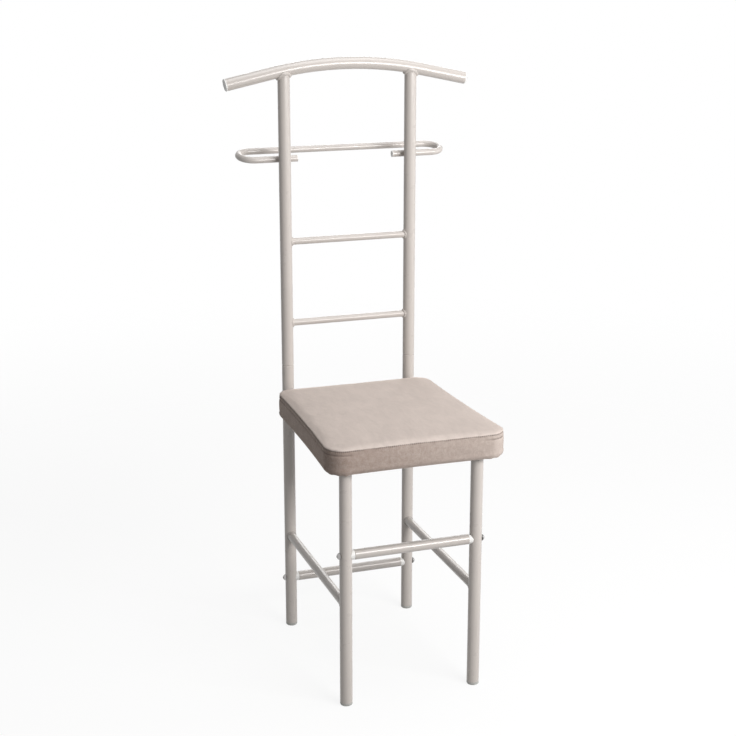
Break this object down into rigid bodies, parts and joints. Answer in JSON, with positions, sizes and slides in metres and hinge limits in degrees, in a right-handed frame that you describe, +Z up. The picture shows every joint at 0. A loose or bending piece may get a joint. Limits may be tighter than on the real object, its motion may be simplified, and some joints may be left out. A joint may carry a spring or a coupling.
{
  "type": "clothes valet chair",
  "caption": "Clothes valet chair: a padded velvet seat on a round-tube frame, whose tall back carries rungs, a looped trouser bar and a curved hanger bar for a jacket.",
  "frame": {"origin": "on the floor, under the middle of the whole chair's bounding box", "axes": "+Z up, +Y from the front of the seat to the back, +X to the right as seen from the front"},
  "size_m": [0.4598, 0.46, 1.09],
  "materials": {
    "frame_paint": "satin powder coat, warm light greige",
    "foot_plastic": "satin, coloured like the frame",
    "cap_plastic": "satin, off-white",
    "black_plastic": "matte, black",
    "bolt_steel": "bright zinc plate",
    "bare_steel": "plain",
    "velvet": "short velvet pile, warm greige",
    "foam": "open-cell foam",
    "plywood": "sanded, raw",
    "lining": "thin non-woven cloth, black"
  },
  "bodies": {
    "root": {"left_front_leg": "frame_paint", "right_front_leg": "frame_paint", "left_rear_leg": "frame_paint", "right_rear_leg": "frame_paint", "left_side_stretcher": "frame_paint", "right_side_stretcher": "frame_paint", "left_seat_rail": "frame_paint", "right_seat_rail": "frame_paint", "stretcher_welds": "frame_paint", "rail_welds": "frame_paint", "front_cross_tube": "frame_paint", "rear_cross_tube": "frame_paint", "front_left_saddle_cap": "cap_plastic", "front_right_saddle_cap": "cap_plastic", "rear_left_saddle_cap": "cap_plastic", "rear_right_saddle_cap": "cap_plastic", "cross_bolts": "bolt_steel", "cross_nuts": "bolt_steel", "left_front_foot": "foot_plastic", "right_front_foot": "foot_plastic", "left_rear_foot": "foot_plastic", "right_rear_foot": "foot_plastic", "front_leg_plugs": "black_plastic", "seat_screws": "bolt_steel", "seat_t_nuts": "bolt_steel", "seat_board": "plywood", "seat_foam": "foam", "seat_cover": "velvet", "seat_underlining": "lining", "left_spigot": "bare_steel", "right_spigot": "bare_steel", "left_upper_post": "frame_paint", "right_upper_post": "frame_paint", "lower_rung": "frame_paint", "upper_rung": "frame_paint", "rung_welds": "frame_paint", "hanger_bar": "frame_paint", "left_hanger_cap": "cap_plastic", "right_hanger_cap": "cap_plastic", "hanger_welds": "frame_paint", "trouser_bar": "frame_paint", "trouser_bar_plugs": "cap_plastic", "trouser_bar_welds": "frame_paint"}
  },
  "joints": []
}
